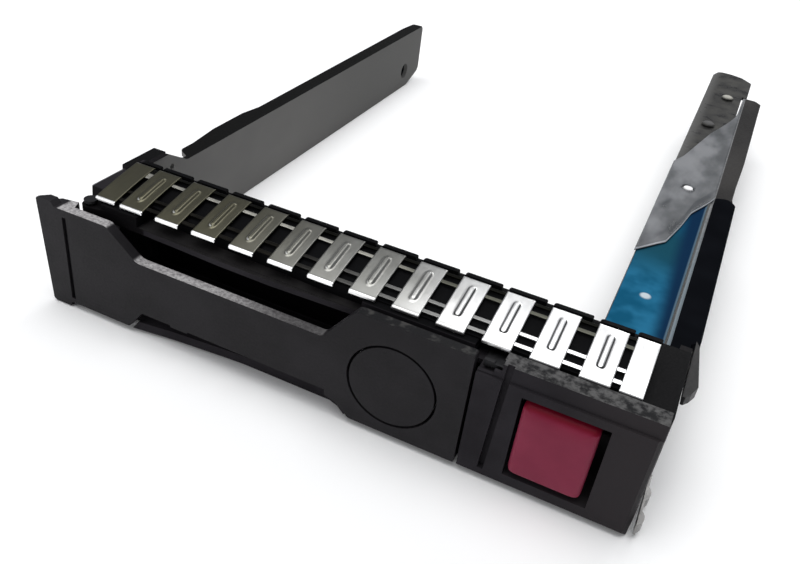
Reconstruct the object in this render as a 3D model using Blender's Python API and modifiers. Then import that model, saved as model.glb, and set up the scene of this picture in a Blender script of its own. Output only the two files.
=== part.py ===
"""Hot-swap carrier (caddy) for a 2.5-inch hard disk drive, shown empty.

A moulded bezel with a swinging eject lever and a push-button release holds two long side rails.
The drive is screwed between the rails, 100 mm of it behind the bezel, and the carrier slides into a cage.

Every shape is made in bench coordinates: x from the carrier's left end, y from the bezel's front face
towards the back, z up from the surface that the carrier lies on.  The empty "carrier_origin" then puts
the middle of the footprint at the world origin.
"""

import math

import bmesh
import bpy
from mathutils import Matrix, Vector

MM = 0.001
GAP = 0.3  # clearance between neighbouring pieces

# ---- driving dimensions, in millimetres ----
LEFT_MOST = -1.1  # lever's left end
RIGHT_MOST = 77.8  # crown of the cage clip
FRONT_MOST = -0.4  # face of the release button
BACK_MOST = 131.0  # tip of the circuit shelf

BODY_LEFT = 1.3
BODY_RIGHT = 76.2
BODY_BACK = 14.3  # back face of the bezel's rear wall
BODY_TOP = 15.0
REAR_WALL = 1.3
TOP_RAIL_FRONT = 2.3
TOP_RAIL_BACK = 14.9
TOP_RAIL_UNDER = 13.5
LEDGE_TOP = 14.3  # step over the air intake, in front of the fingers
RIDGE_TOP = 15.6  # front edge of the top rail, under the fingers' lips
FLOOR_PLATE = 1.6

LEVER_END = 56.4
LEVER_PLATE = 1.3  # thickness of the lever's front plate
PIVOT_X = 5.0
PIVOT_Y = 2.8
KNUCKLE_R = 1.5
LUG_R = 1.1
PIN_R = 0.45

HOUSING_LEFT = 56.75
HOUSING_TOP = 16.0
FASCIA_TOP = 14.1  # the dark band above it is set back
BAND_SETBACK = 0.35

STATUS_X = 47.9
STATUS_Z = 7.65
STATUS_R = 5.15

BUTTON_LEFT = 62.25
BUTTON_RIGHT = 70.3
BUTTON_LOW = 2.75
BUTTON_HIGH = 12.85

FINGER_PITCH = 5.18
FINGER_WIDTH = 3.23
FINGER_FIRST = 9.35  # left edge of the first full finger
FINGER_COUNT = 12
FINGER_FRONT = 2.75
FINGER_BACK = 10.6
FINGER_LOW = 16.2  # top of a finger at its front lip
FINGER_RISE = 0.207  # height gained per millimetre towards the back
SPRING_SHEET = 0.2
TOOTH_WIDTH = 4.45
TOOTH_FRONT = 10.9
TOOTH_BACK = 11.55
TOOTH_TOP = 17.65
TOOTH_ROOT = 17.05  # floor of the notches between teeth

DRIVE_FRONT = 15.7
DRIVE_LENGTH = 100.3
DRIVE_HOLES = (14.0, 90.6)  # side screw holes, from the drive's connector end
DRIVE_HOLE_Z = 3.7
SCREW_HOLE_R = 1.65

WEB = 0.8  # thickness of the rails' sheet
WEB_LEFT_INNER = 3.0
WEB_RIGHT_INNER = 73.6
RAIL_TOP = 12.0
RAIL_LENGTH_LEFT = 110.0
RAIL_LENGTH_RIGHT = 116.2
FLANGE_LEFT = 0.3
FLANGE_RIGHT = 77.2

SHELF_LEFT = 66.1
SHELF_RIGHT = 73.3
SHELF_Z = (11.3, 11.9)

ROUND = 28  # sides of a round piece


# ---- scene, collections and materials ----
for old in list(bpy.data.objects):
    bpy.data.objects.remove(old, do_unlink=True)

PARTS = bpy.data.collections.new("drive_carrier")
CUTTERS = bpy.data.collections.new("cutters")
bpy.context.scene.collection.children.link(PARTS)
bpy.context.scene.collection.children.link(CUTTERS)


def empty(name, x, y, z, parent=None):
    """An empty at a bench position; under another empty, its place is relative to that one."""
    thing = bpy.data.objects.new(name, None)
    thing.empty_display_size = 0.01
    thing.location = Vector((x, y, z)) * MM
    if parent is not None:
        thing.location -= BENCH[parent]
        thing.parent = parent
    PARTS.objects.link(thing)
    BENCH[thing] = Vector((x, y, z)) * MM
    return thing


BENCH = {}
CENTRE_X = (LEFT_MOST + RIGHT_MOST) / 2
CENTRE_Y = (FRONT_MOST + BACK_MOST) / 2
carrier = empty("carrier_origin", 0, 0, 0)
carrier.location = Vector((-CENTRE_X, -CENTRE_Y, 0)) * MM
lever_axis = empty("lever_axis", PIVOT_X, PIVOT_Y, 0, carrier)
BUTTON_MIDDLE = ((BUTTON_LEFT + BUTTON_RIGHT) / 2, 0, (BUTTON_LOW + BUTTON_HIGH) / 2)
button_axis = empty("button_axis", *BUTTON_MIDDLE, carrier)
catch_axis = empty("catch_axis", 57.1, 1.0, 14.7, carrier)


def material(name, colour, roughness, metallic=0.0, alpha=1.0):
    mat = bpy.data.materials.new(name)
    mat.use_nodes = True
    shader = mat.node_tree.nodes["Principled BSDF"]
    shader.inputs["Base Color"].default_value = (*colour, 1.0)
    shader.inputs["Roughness"].default_value = roughness
    shader.inputs["Metallic"].default_value = metallic
    shader.inputs["Alpha"].default_value = alpha
    return mat


CHARCOAL = (0.032, 0.031, 0.034)
BLACK = (0.012, 0.012, 0.013)


# ---- shape helpers, all in bench millimetres ----
def keep(name, bm, collection=PARTS):
    """Turn a bmesh in millimetres into an object in metres under the carrier's empty."""
    bmesh.ops.remove_doubles(bm, verts=bm.verts, dist=0.00001)
    bmesh.ops.recalc_face_normals(bm, faces=bm.faces)
    bmesh.ops.scale(bm, vec=(MM, MM, MM), verts=bm.verts)
    mesh = bpy.data.meshes.new(name)
    bm.to_mesh(mesh)
    bm.free()
    thing = bpy.data.objects.new(name, mesh)
    thing.parent = carrier
    collection.objects.link(thing)
    return thing


def box_mesh(bm, low, high):
    low, high = Vector(low), Vector(high)
    place = Matrix.Translation((low + high) / 2) @ Matrix.Diagonal((*(high - low), 1.0))
    bmesh.ops.create_cube(bm, size=1.0, matrix=place)


def box(name, low, high, collection=PARTS):
    bm = bmesh.new()
    box_mesh(bm, low, high)
    return keep(name, bm, collection)


def boxes(name, spans, collection):
    """Several separate boxes in one object, for cutting."""
    bm = bmesh.new()
    for low, high in spans:
        box_mesh(bm, low, high)
    return keep(name, bm, collection)


TURN = {
    "X": Matrix.Rotation(math.pi / 2, 4, "Y"),
    "Y": Matrix.Rotation(-math.pi / 2, 4, "X"),
    "Z": Matrix.Identity(4),
}


def rod_mesh(bm, centre, radius, start, end, axis, sides=ROUND):
    """A cylinder along an axis from start to end; centre gives its other two coordinates."""
    place = list(centre)
    place.insert("XYZ".index(axis), (start + end) / 2)
    matrix = Matrix.Translation(place) @ TURN[axis]
    bmesh.ops.create_cone(bm, cap_ends=True, segments=sides, radius1=radius, radius2=radius,
                          depth=end - start, matrix=matrix)


def rod(name, centre, radius, start, end, axis, collection=PARTS, sides=ROUND):
    bm = bmesh.new()
    rod_mesh(bm, centre, radius, start, end, axis, sides)
    return keep(name, bm, collection)


def fillet(corners, steps=4):
    """An outline from (u, v, radius) corners, each with a radius rounded by an arc."""
    points = []
    count = len(corners)
    for i, (u, v, radius) in enumerate(corners):
        here = Vector((u, v))
        if radius <= 0:
            points.append(here)
            continue
        before = (Vector(corners[i - 1][:2]) - here).normalized()
        after = (Vector(corners[(i + 1) % count][:2]) - here).normalized()
        half = before.angle(after) / 2
        reach = radius / math.tan(half)
        centre = here + (before + after).normalized() * radius / math.sin(half)
        start = here + before * reach - centre
        sweep = (here + after * reach - centre).angle_signed(start)
        for k in range(steps + 1):
            turn = Matrix.Rotation(sweep * k / steps, 2)
            points.append(centre + turn @ start)
    return points


# how a flat outline's own axes lie: its u, its v and its thickness
PLANE = {
    "XY": Matrix(((1, 0, 0, 0), (0, 1, 0, 0), (0, 0, 1, 0), (0, 0, 0, 1))),
    "XZ": Matrix(((1, 0, 0, 0), (0, 0, -1, 0), (0, 1, 0, 0), (0, 0, 0, 1))),
    "YZ": Matrix(((0, 0, 1, 0), (1, 0, 0, 0), (0, 1, 0, 0), (0, 0, 0, 1))),
}
SIDEWAYS = {"XY": Vector((0, 0, 1)), "XZ": Vector((0, 1, 0)), "YZ": Vector((1, 0, 0))}


def plate(name, plane, outlines, start, end, collection=PARTS):
    """A flat plate: filled outlines in a plane, from start to end along the plane's normal."""
    curve = bpy.data.curves.new(name + "_outline", "CURVE")
    curve.dimensions = "2D"
    curve.fill_mode = "BOTH"
    curve.extrude = (end - start) / 2
    for outline in outlines:
        spline = curve.splines.new("POLY")
        spline.points.add(len(outline) - 1)
        for point, (u, v) in zip(spline.points, outline):
            point.co = (u, v, 0, 1)
        spline.use_cyclic_u = True
    drawn = bpy.data.objects.new(name + "_outline", curve)
    CUTTERS.objects.link(drawn)
    bpy.context.view_layer.update()
    seen = drawn.evaluated_get(bpy.context.evaluated_depsgraph_get())
    mesh = bpy.data.meshes.new_from_object(seen)
    bm = bmesh.new()
    bm.from_mesh(mesh)
    bpy.data.objects.remove(drawn, do_unlink=True)
    bpy.data.meshes.remove(mesh)
    middle = Matrix.Translation(SIDEWAYS[plane] * (start + end) / 2)
    bmesh.ops.remove_doubles(bm, verts=bm.verts, dist=0.0001)
    bmesh.ops.transform(bm, matrix=middle @ PLANE[plane], verts=bm.verts)
    return keep(name, bm, collection)


def tool(thing):
    """Mark an object as a cutter or a joined-in block."""
    thing.hide_render = True
    thing.display_type = "WIRE"
    return thing


def cut(target, *cutters):
    for cutter in cutters:
        step = target.modifiers.new("cut_" + cutter.name, "BOOLEAN")
        step.operation = "DIFFERENCE"
        step.object = tool(cutter)


def join(target, *blocks):
    for block in blocks:
        step = target.modifiers.new("join_" + block.name, "BOOLEAN")
        step.operation = "UNION"
        step.object = tool(block)


def block(name, low, high):
    return box(name, low, high, CUTTERS)


def round_block(name, centre, radius, start, end, axis, sides=ROUND):
    return rod(name, centre, radius, start, end, axis, CUTTERS, sides)


def coil(name, centre, axis, radius, wire, start, end, turns, points_per_turn=12):
    """A coil spring of round wire along an axis."""
    curve = bpy.data.curves.new(name, "CURVE")
    curve.dimensions = "3D"
    curve.bevel_depth = wire / 2 * MM
    curve.bevel_resolution = 1
    curve.use_fill_caps = True
    count = int(turns * points_per_turn) + 1
    spline = curve.splines.new("POLY")
    spline.points.add(count - 1)
    for k, point in enumerate(spline.points):
        angle = 2 * math.pi * k / points_per_turn
        place = [centre[0] + radius * math.cos(angle), centre[1] + radius * math.sin(angle)]
        place.insert("XYZ".index(axis), start + (end - start) * k / (count - 1))
        point.co = (*(Vector(place) * MM), 1)
    thing = bpy.data.objects.new(name, curve)
    thing.parent = carrier
    PARTS.objects.link(thing)
    return thing


def finish(thing, mat, axis=None, bevel=0.0):
    """Give a piece its material, its edge rounding and the empty that it turns or slides with."""
    thing.data.materials.clear()
    thing.data.materials.append(mat)
    if bevel:
        step = thing.modifiers.new("edges", "BEVEL")
        step.width = bevel * MM
        step.segments = 2
        step.limit_method = "ANGLE"
        step.angle_limit = math.radians(40)
    if axis is not None:
        thing.parent = axis
        thing.location = -BENCH[axis]
    return thing


# ---- bezel ----
def bezel_frame(mat):
    plan = [(BODY_LEFT, 7.0), (3.7, 4.4), (5.5, 4.0), (6.8, TOP_RAIL_FRONT), (HOUSING_LEFT, TOP_RAIL_FRONT),
            (HOUSING_LEFT, 0.0), (75.45, 0.0), (75.9, 0.8), (BODY_RIGHT, 3.2), (BODY_RIGHT, TOP_RAIL_BACK),
            (BODY_LEFT, TOP_RAIL_BACK)]
    frame = plate("bezel_frame", "XY", [plan], 0.0, BODY_TOP)
    join(frame, housing_crown(), lower_lip(), top_ridge(), top_ledge(), strip_deck())
    join(frame, *pivot_lugs(), *side_arms(), *rear_teeth())
    cut(frame, intake_recess(), lever_bay(), *housing_cuts(), *rear_cuts(), *rail_slots(), vents())
    cut(frame, *pin_and_rivet_holes())
    return finish(frame, mat)


def housing_crown():
    """The raised front edge above the push button."""
    return block("housing_crown", (59.2, BAND_SETBACK, 14.0), (BODY_RIGHT - 0.3, 2.6, HOUSING_TOP))


def lower_lip():
    """The lip under the lever's bar, cut back in a shallow bow from left to right."""
    front = [(12.1, 0.4), (14.2, 3.3), (39.45, 3.3), (39.5, 2.5), (41.1, 2.05), (42.55, 0.82), (42.3, 0.4)]
    lip = plate("lower_lip", "XZ", [front], 0.3, 3.4, CUTTERS)
    bow = [(11, -1), (44, -1), (43, 0.2), (41, 1.5), (38.3, 2.4), (32.6, 2.25), (25, 1.72), (17.7, 1.1),
           (11, 0.2)]
    cut(lip, plate("lip_bow", "XY", [bow], 0, 5, CUTTERS))
    return lip


def top_ridge():
    """Raised front edge of the top rail."""
    return block("top_ridge", (6.9, TOP_RAIL_FRONT + 0.02, TOP_RAIL_UNDER + 0.6), (55.6, 3.6, RIDGE_TOP))


def top_ledge():
    """The step over the air intake; its front edge is slightly bowed."""
    edge = [(12.5, 2.28), (18, 2.1), (24, 1.86), (31, 1.8), (37, 2.05), (41, 2.2), (42.6, 2.28)]
    outline = edge + [(42.6, 3.4), (12.5, 3.4)]
    return plate("top_ledge", "XY", [outline], TOP_RAIL_UNDER + 0.05, LEDGE_TOP - 0.05, CUTTERS)


def intake_recess():
    """Clears the room above the step, under the fingers' lips."""
    back = [(42.4, 3.5), (37, 3.5), (31, 3.85), (24, 4.2), (18, 4.6), (12.2, 4.9)]
    return plate("intake_recess", "XY", [[(12.2, -1), (42.4, -1)] + back], LEDGE_TOP, 19, CUTTERS)


def strip_deck():
    """Wedge under the sheet strip, and the low bar that the teeth stand on."""
    high = finger_top(10.1) - SPRING_SHEET - GAP
    back = TOOTH_BACK - 0.05
    side = [(3.4, 14.5), (back, 14.5), (back, TOOTH_ROOT), (10.9, TOOTH_ROOT), (10.9, 16.5), (10.1, 16.5),
            (10.1, high), (3.4, finger_top(3.4) - SPRING_SHEET - GAP)]
    return plate("strip_deck", "YZ", [side], 6.0, 72.6, CUTTERS)


def pivot_lugs():
    """Two ears that hold the lever's pin, above and below."""
    made = []
    for name, low, high in (("lug_low", 0.05, FLOOR_PLATE), ("lug_high", TOP_RAIL_UNDER, BODY_TOP - 0.05)):
        made.append(round_block(name + "_eye", (PIVOT_X, PIVOT_Y), LUG_R, low, high, "Z", 20))
        neck = [(PIVOT_X - 0.75, PIVOT_Y + 0.7), (PIVOT_X + 0.3, PIVOT_Y - 1.05), (8.5, 2.5), (8.5, 5.5),
                (4.6, 5.5)]
        made.append(plate(name + "_neck", "XY", [neck], low + 0.02, high - 0.02, CUTTERS))
    return made


def side_arms():
    """Cheeks that reach back along the outside of each rail."""
    left = block("left_arm", (BODY_LEFT + 0.02, 12.0, 5.0), (1.9, 19.3, 14.9))
    left_hood = block("left_hood", (BODY_LEFT + 0.04, 12.5, 14.6), (3.3, 19.0, BODY_TOP + 0.2))
    right = block("right_arm", (74.9, 12.0, 5.0), (BODY_RIGHT - 0.02, 15.9, 14.9))
    return [left, left_hood, right]


def finger_lefts():
    """Left edge and width of each spring finger, the short end ones included."""
    full = [(FINGER_FIRST + FINGER_PITCH * k, FINGER_WIDTH) for k in range(FINGER_COUNT)]
    return [(5.75, 2.8)] + full + [(70.43, 2.4)]


def rear_teeth():
    """One raised tooth behind each spring finger."""
    made = []
    edges = [left for left, _ in finger_lefts()]
    for k, (left, following) in enumerate(zip(edges, edges[1:] + [73.35])):
        start = left - 0.1
        end = min(start + TOOTH_WIDTH, following - 0.4)
        outline = fillet([(start, 14.5, 0), (end, 14.5, 0), (end, TOOTH_TOP, 0.15),
                          (start, TOOTH_TOP, 0.35)], 3)
        made.append(plate(f"tooth_{k + 1}", "XZ", [outline], TOOTH_FRONT + 0.02, TOOTH_BACK, CUTTERS))
    return made


def lever_bay():
    """The hollow behind the lever, open to the front and the left."""
    plan = [(-2, -2), (HOUSING_LEFT, -2), (HOUSING_LEFT, BODY_BACK - REAR_WALL), (4.9, BODY_BACK - REAR_WALL),
            (4.9, 7.2), (-2, 7.2)]
    return plate("lever_bay", "XY", [plan], FLOOR_PLATE, TOP_RAIL_UNDER, CUTTERS)


def housing_cuts():
    band = block("band", (HOUSING_LEFT - 1, -1, FASCIA_TOP), (BODY_RIGHT + 1, BAND_SETBACK, 17))
    left_step = block("left_step", (HOUSING_LEFT - 1, -1, 14.9), (59.3, 1.2, 17))
    notch = block("catch_notch", (HOUSING_LEFT - 1, -1, 14.3), (58.5, 1.6, 17))
    groove = plate("groove", "XZ", [[(59.1, 1.6), (59.75, 1.6), (60.5, 17), (59.75, 17)]], -1, 0.7, CUTTERS)
    well = block("button_well", (61.9, -1, 2.1), (71.2, 2.5, 13.1))
    chamber = block("button_chamber", (60.0, 1.8, 1.9), (74.8, BODY_BACK - REAR_WALL, 13.3))
    channel = block("catch_channel", (HOUSING_LEFT - 1, 0.75, 14.1), (61.95 + GAP, 3.9, 15.3))
    shaft = block("catch_shaft", (60.0, 2.0, 13.0), (61.95 + GAP, 3.9, 14.5))
    window = block("chamber_window", (62.0, 12.0, 4.0), (72.0, 15.0, 11.0))
    foot = plate("foot_chamfer", "YZ", [[(-1, -1), (0.85, -1), (0.85, 0.0), (0.0, 0.8), (-1, 0.8)]],
                 HOUSING_LEFT - 2, BODY_RIGHT + 2, CUTTERS)
    return [band, left_step, notch, groove, well, chamber, channel, shaft, window, foot]


def rear_cuts():
    """Room behind the rear wall, and the slanted left edge of the top."""
    room = block("rear_room", (3.35, BODY_BACK, -1), (74.85, 17, TOP_RAIL_UNDER))
    slant = plate("left_slant", "XZ", [[(0.9, 14.25), (3.4, 15.7), (0.9, 15.7)]], 3, 12.6, CUTTERS)
    return [room, slant]


def rail_slots():
    left = block("left_slot", (1.9, 9.2, FLOOR_PLATE + GAP), (3.35, 20, 13.3))
    right = block("right_slot", (73.3, 9.2, FLOOR_PLATE + GAP), (74.7, 20, 13.3))
    left_foot = block("left_foot_room", (0, BODY_BACK, -1), (3.4, 15.62, 4.9))
    right_foot = block("right_foot_room", (73.0, BODY_BACK, -1), (77, 17, 4.9))
    return [left, right, left_foot, right_foot]


def vents():
    """Air slots through the rear wall."""
    spans = [((8.5 + 5.6 * k, 12.0, 6.6), (12.3 + 5.6 * k, 15.0, 12.2)) for k in range(6)]
    return boxes("vents", spans, CUTTERS)


def rivet_places():
    return [("upper", 10.6), ("lower", 5.2)]


def pin_and_rivet_holes():
    holes = [round_block("pin_hole", (PIVOT_X, PIVOT_Y), PIN_R + 0.2, -1, 17, "Z", 16)]
    for name, height in rivet_places():
        holes.append(round_block("left_rivet_hole_" + name, (11.0, height), 0.95, 0, 2.0, "X", 16))
        holes.append(round_block("right_rivet_hole_" + name, (11.0, height), 0.95, 74.5, 77, "X", 16))
    return holes


# ---- lever and what it carries ----
def lever(mat):
    outline = fillet([(LEFT_MOST + 0.7, 0.1, 0.4), (2.4, 0.1, 0), (2.6, 0.8, 0), (11.9, 0.8, 0.5),
                      (14.0, 3.6, 0.3), (18.3, 3.6, 0), (18.3, 3.35, 0), (20.8, 3.35, 0), (20.8, 3.6, 0),
                      (39.9, 3.6, 0), (39.9, 2.8, 0),
                      (41.3, 2.4, 0.8), (43.2, 0.8, 0.8), (LEVER_END, 0.8, 0.2), (LEVER_END, 15.9, 0.3),
                      (42.9, 15.9, 0.8), (39.1, 11.0, 1.0), (13.8, 11.0, 1.2), (9.5, 14.6, 1.0),
                      (1.7, 14.6, 0), (1.2, 15.2, 0), (LEFT_MOST, 15.2, 0.4)])
    handle = plate("lever", "XZ", [outline], 0.0, LEVER_PLATE)
    hub = plate("lever_hub", "XY", [[(-0.2, 0.9), (1.0, 2.2), (3.2, 2.6), (3.6, 1.5), (4.0, 0.9)]],
                0.5, 14.55, CUTTERS)
    rib = block("lever_rib", (13.0, 1.0, 4.0), (43.8, 3.6, 5.0))
    knuckles = []
    for name, low, high in (("low", FLOOR_PLATE + GAP, 5.0), ("high", 9.6, TOP_RAIL_UNDER - GAP)):
        knuckles.append(round_block("knuckle_" + name, (PIVOT_X, PIVOT_Y), KNUCKLE_R, low, high, "Z"))
        web = ((PIVOT_X - 1.4, 0.9, low + 0.02), (PIVOT_X + 1.4, PIVOT_Y, high - 0.02))
        knuckles.append(block("knuckle_web_" + name, *web))
    frame = fillet([(43.6, 1.6, 0.4), (55.9, 1.6, 0.4), (55.9, 15.1, 0.4), (43.6, 15.1, 0.4)])
    inner = fillet([(44.4, 2.4, 0.4), (55.1, 2.4, 0.4), (55.1, 14.3, 0.4), (44.4, 14.3, 0.4)])
    rim = plate("status_rim", "XZ", [frame, inner], 1.0, 1.95, CUTTERS)
    join(handle, hub, rib, rim, *knuckles)
    face_hole = round_block("status_hole", (STATUS_X, STATUS_Z), STATUS_R + 0.3, -1, 2, "Y", 48)
    pin_bore = round_block("pin_bore", (PIVOT_X, PIVOT_Y), PIN_R + 0.05, 0, 16, "Z", 16)
    groove = block("ear_groove", (2.75, -1, 1.5), (3.35, 0.45, 13.5))
    slant = [(LEFT_MOST - 0.48, -0.5), (1.95, 3.2), (-4, 3.2), (-4, -0.5)]
    cut(handle, face_hole, pin_bore, groove, plate("ear_slant", "XY", [slant], -1, 17, CUTTERS))
    return finish(handle, mat, lever_axis)


def status_disc(mat):
    """The round cap that the status ring shines around; its hub sits in the module's cover."""
    disc = rod("status_disc", (STATUS_X, STATUS_Z), STATUS_R, 0.02, 0.8, "Y", sides=48)
    join(disc, round_block("disc_hub", (STATUS_X, STATUS_Z), 3.0, 0.5, 2.3, "Y", 24))
    return finish(disc, mat, lever_axis)


def status_light_ring(mat):
    ring = rod("status_light_ring", (STATUS_X, STATUS_Z), STATUS_R, 1.1, 1.7, "Y", sides=40)
    cut(ring, round_block("ring_hole", (STATUS_X, STATUS_Z), 3.6, 0, 3, "Y", 24))
    return finish(ring, mat, lever_axis)


def status_cover(mat):
    """Back plate of the status module, inside the lever's rim."""
    outline = fillet([(43.8, 2.1, 0.3), (55.7, 2.1, 0.3), (55.7, 13.2, 0.3), (43.8, 13.2, 0.3)])
    cover = plate("status_cover", "XZ", [outline], 2.0, 2.9)
    cut(cover, round_block("hub_seat", (STATUS_X, STATUS_Z), 3.0 + GAP, 1, 4, "Y", 24))
    return finish(cover, mat, lever_axis)


def lever_pin(mat):
    pin = rod("lever_pin", (PIVOT_X, PIVOT_Y), PIN_R, 0.25, 15.4, "Z", sides=16)
    join(pin, round_block("pin_head", (PIVOT_X, PIVOT_Y), 0.85, 15.25, 15.6, "Z", 16))
    return finish(pin, mat)


def lever_spring(mat):
    """Torsion spring on the pin, between the lever's two knuckles."""
    return finish(coil("lever_spring", (PIVOT_X, PIVOT_Y), "Z", 0.95, 0.36, 5.6, 9.1, 5), mat)


# ---- button, catch and electronics ----
def release_button(mat):
    outline = fillet([(BUTTON_LEFT, BUTTON_LOW, 0.35), (BUTTON_RIGHT, BUTTON_LOW, 0.45),
                      (BUTTON_RIGHT, BUTTON_HIGH, 0.9), (BUTTON_LEFT, BUTTON_HIGH, 0.35)])
    button = plate("release_button", "XZ", [outline], FRONT_MOST, 4.5)
    stem = round_block("button_stem", (66.3, 7.8), 1.2, 4.0, 8.6, "Y", 20)
    join(button, stem)
    return finish(button, mat, button_axis)


def button_spring(mat):
    return finish(coil("button_spring", (66.3, 7.8), "Y", 1.9, 0.45, 6.25, 12.6, 6), mat)


def release_catch(mat):
    """Sliding catch: its nose shows at the top of the seam, its arm hangs beside the button."""
    catch = box("release_catch", (57.1, 1.1, 14.45), (61.5, 3.5, 15.0))
    arm = block("catch_arm", (60.3, 2.3, 4.0), (61.5, 3.5, 14.8))
    nose = block("catch_nose", (57.1, 0.3 + 0.75, 14.6), (58.2, 1.5, 15.25))
    join(catch, arm, nose)
    return finish(catch, mat, catch_axis)


def status_board(mat):
    board = box("status_board", (43.2, 11.4, 2.2), (56.3, 12.4, 12.9))
    return finish(board, mat)


def status_led(mat):
    lamp = box("status_led", (STATUS_X - 0.9, 10.6, STATUS_Z - 0.7), (STATUS_X + 0.9, 11.1, STATUS_Z + 0.7))
    return finish(lamp, mat)


def light_guide(mat):
    """Hollow clear barrel that carries the lamp's light to the ring on the lever."""
    barrel = rod("light_guide", (STATUS_X, STATUS_Z), 4.9, 3.6, 10.2, "Y", sides=32)
    cut(barrel, round_block("guide_bore", (STATUS_X, STATUS_Z), 3.7, 2, 12, "Y", 32))
    return finish(barrel, mat)


# ---- grounding springs ----
def finger_top(y):
    """Height of the strip's upper face."""
    return FINGER_LOW + FINGER_RISE * (y - 3.0)


def slope(low, high, above, below):
    """Side view of a sheet that follows the strip's slope from y low to high."""
    return [(low, finger_top(low) + below), (high, finger_top(high) + below),
            (high, finger_top(high) + above), (low, finger_top(low) + above)]


def finger_outline():
    """Side view of one finger: lip in front, straight slope, end folded down."""
    t = SPRING_SHEET
    front, back = FINGER_FRONT, FINGER_BACK
    bend = back - 0.3
    return [(front, FINGER_LOW - 0.25), (front, FINGER_LOW - 0.12), (front + 0.22, FINGER_LOW),
            (bend, finger_top(bend)), (back, finger_top(bend) - 0.15), (back, finger_top(bend) - 0.85),
            (back - t, finger_top(bend) - 0.85), (back - t - 0.02, finger_top(bend) - 0.3),
            (bend - 0.1, finger_top(bend) - t), (front + 0.35, FINGER_LOW - t),
            (front + t, FINGER_LOW - 0.25)]


def ground_spring_strip(mat):
    """Sloping sheet strip on the top rail: cross bars, and fingers that rise towards the back."""
    strip = plate("ground_spring_strip", "YZ", [slope(3.5, 10.2, -0.02, -0.19)], 5.85, 72.7)
    windows = []
    edges = finger_lefts()
    for k, ((left, width), (following, _)) in enumerate(zip(edges, edges[1:])):
        for low, high in ((4.05, 5.15), (5.65, 8.45), (8.95, 9.75)):
            gap = (left + width + 0.02, following - 0.02)
            name = f"window_{k + 1}_{low:.0f}"
            windows.append(plate(name, "YZ", [slope(low, high, 0.5, -0.7)], *gap, CUTTERS))
    cut(strip, *windows)
    for k, (left, width) in enumerate(edges):
        finger = plate(f"finger_{k + 1}", "YZ", [finger_outline()], left, left + width, CUTTERS)
        join(strip, finger)
    for k, (left, width) in enumerate(edges[1:-1]):
        middle = left + width / 2
        rib = [(4.3, finger_top(4.3) - 0.1), (4.6, finger_top(4.6) + 0.22), (9.0, finger_top(9.0) + 0.22),
               (9.3, finger_top(9.3) - 0.1)]
        join(strip, plate(f"finger_rib_{k + 2}", "YZ", [rib], middle - 0.35, middle + 0.35, CUTTERS))
    return finish(strip, mat)


def side_ground_spring(mat):
    """Short strip low on the right side, with two rounded contact bumps."""
    strip = box("side_ground_spring", (76.5, 0.7, 0.6), (76.75, 8.6, 2.2))
    for k, y in enumerate((1.9, 5.7)):
        turns = [math.pi * n / 8 for n in range(9)]
        arc = [(76.55 + 0.6 * math.sin(turn), y - 1.1 * math.cos(turn)) for turn in turns]
        join(strip, plate(f"contact_bump_{k + 1}", "XY", [arc], 0.75, 2.05, CUTTERS))
    return finish(strip, mat)


def cage_clip(mat):
    """Sprung tongue that bears on the cage wall, beside the right rail's root."""
    plan = [(76.5, 8.5), (76.8, 8.5), (77.3, 9.4), (RIGHT_MOST, 11.0), (76.95, 18.4), (76.5, 19.3)]
    clip = plate("cage_clip", "XY", [plan], 10.8, 13.8)
    below = [(7.0, 13.0), (20.0, 10.9), (20.0, 9.0), (7.0, 9.0)]
    cut(clip, plate("clip_taper", "YZ", [below], 76, 78.5, CUTTERS))
    return finish(clip, mat)


# ---- rails ----
def drive_hole_places():
    back = DRIVE_FRONT + DRIVE_LENGTH
    return [back - offset for offset in DRIVE_HOLES]


def web_outline(length, shoulder):
    """Side view of a rail's web: a tab in the bezel, a shoulder, then the long blade."""
    return fillet([(9.5, 2.2, 0.4), (15.9, 2.2, 0), (15.9, 0.0, 0), (length - 6.0, 0.0, 2.0),
                   (length, 2.0, 1.4),
                   (length, RAIL_TOP, 0.9), (24.0, RAIL_TOP, 1.5), (20.0, shoulder, 0.8), (15.9, shoulder, 0),
                   (15.9, 13.0, 0), (9.5, 13.0, 0.4)])


def screw_holes(side, start, end):
    return [round_block(f"{side}_screw_hole_{k + 1}", (y, DRIVE_HOLE_Z), SCREW_HOLE_R, start, end, "X", 20)
            for k, y in enumerate(drive_hole_places())]


def left_rail(mat):
    inner = WEB_LEFT_INNER
    rail = plate("left_rail", "YZ", [web_outline(RAIL_LENGTH_LEFT, 14.3)], inner - WEB, inner)
    far = RAIL_LENGTH_LEFT - 0.2
    lobe = FLANGE_LEFT - 0.65
    flange = fillet([(inner - 0.1, 24.4, 0), (inner - 0.1, far, 0), (FLANGE_LEFT + 0.4, far, 0.6),
                     (FLANGE_LEFT, far - 5.0, 2.0), (FLANGE_LEFT, 47.0, 1.0), (lobe, 43.0, 1.0),
                     (lobe, 35.0, 1.0), (FLANGE_LEFT, 29.0, 1.0), (FLANGE_LEFT, 26.0, 1.0)])
    join(rail, plate("left_flange", "XY", [flange], RAIL_TOP - WEB, RAIL_TOP - 0.02, CUTTERS))
    cut(rail, *screw_holes("left", 1.5, 4.0), round_block("left_pip", (20.6, 12.2), 0.45, 1, 4, "X", 12))
    for name, z in rivet_places():
        cut(rail, round_block("left_web_rivet_" + name, (11.0, z), 0.95, 2.0, 4, "X", 16))
    return finish(rail, mat)


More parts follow.
